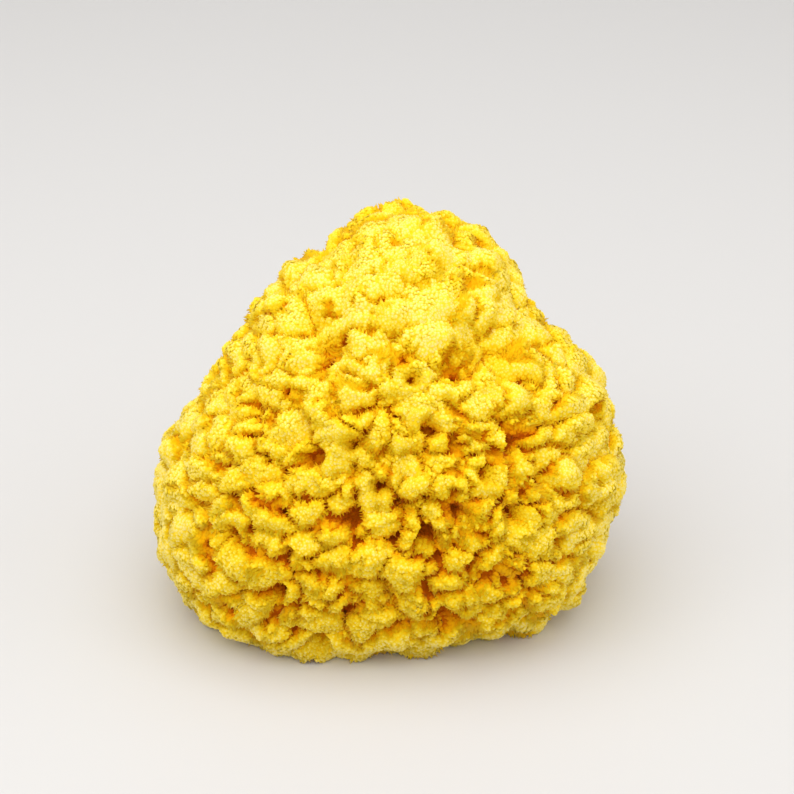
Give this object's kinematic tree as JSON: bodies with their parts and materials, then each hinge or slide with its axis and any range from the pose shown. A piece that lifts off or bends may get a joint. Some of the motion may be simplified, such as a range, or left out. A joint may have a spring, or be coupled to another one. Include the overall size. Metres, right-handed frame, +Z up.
{
  "type": "sea sponge",
  "caption": "Dried natural sea sponge: a rounded triangular cushion of velvety lumps and open pits, cut flat at the base so that it stands on a shelf or a tray.",
  "frame": {"origin": "middle of the bounding box's base, on the flat cut that the sponge rests on", "axes": "+Z up from the flat cut, +X to the right across the broad face, and the broad face looks to -Y and a little up"},
  "size_m": [0.1426, 0.1102, 0.1155],
  "materials": {
    "sponge_fibre": "matte, velvety yellow fibre, paler at the tips and orange in the pits"
  },
  "bodies": {
    "root": {"sponge": "sponge_fibre"}
  },
  "joints": []
}
